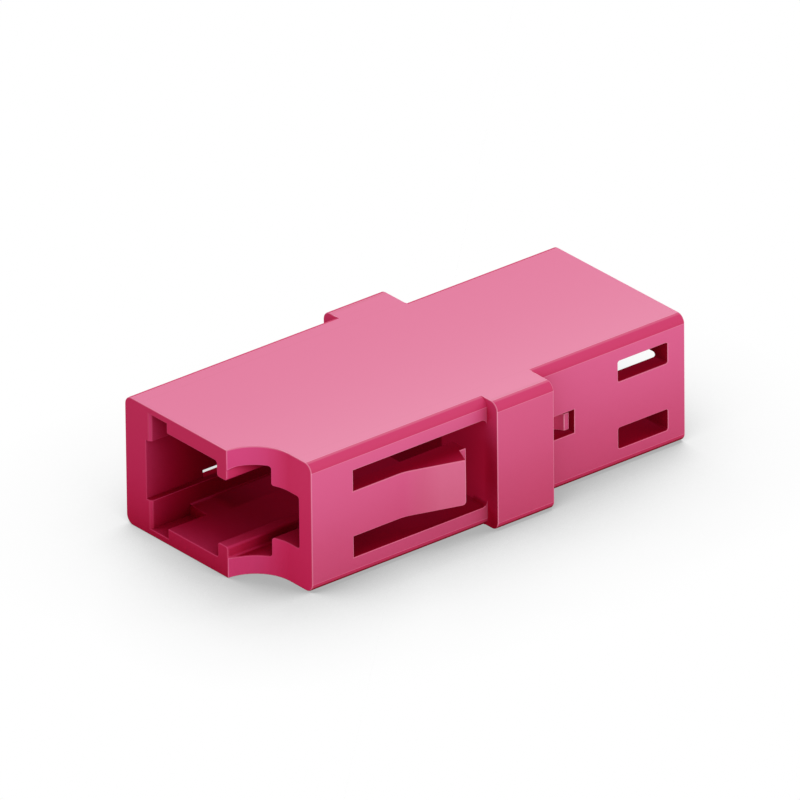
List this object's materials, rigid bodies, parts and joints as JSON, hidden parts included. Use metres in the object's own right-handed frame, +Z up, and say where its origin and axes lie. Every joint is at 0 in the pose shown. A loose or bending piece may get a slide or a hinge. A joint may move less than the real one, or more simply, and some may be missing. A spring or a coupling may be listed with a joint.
{
  "type": "fibre optic adapter",
  "caption": "Single-port fibre optic coupling adapter: plastic housing with panel ears, two snap latches, stepped plug ports and a split ceramic alignment sleeve.",
  "frame": {"origin": "middle of the underside, on the surface that the adapter lies on", "axes": "+X along the plugging direction from the front port to the rear port, +Y to the plain side of the port, +Z up out of the wide side"},
  "size_m": [0.0232, 0.0122, 0.0062],
  "materials": {
    "housing_plastic": "fine satin moulding",
    "retainer_plastic": "fine satin moulding",
    "sleeve_ceramic": "polished ceramic"
  },
  "bodies": {
    "root": {"housing": "housing_plastic", "sleeve_retainer": "retainer_plastic", "alignment_sleeve": "sleeve_ceramic"}
  },
  "joints": []
}
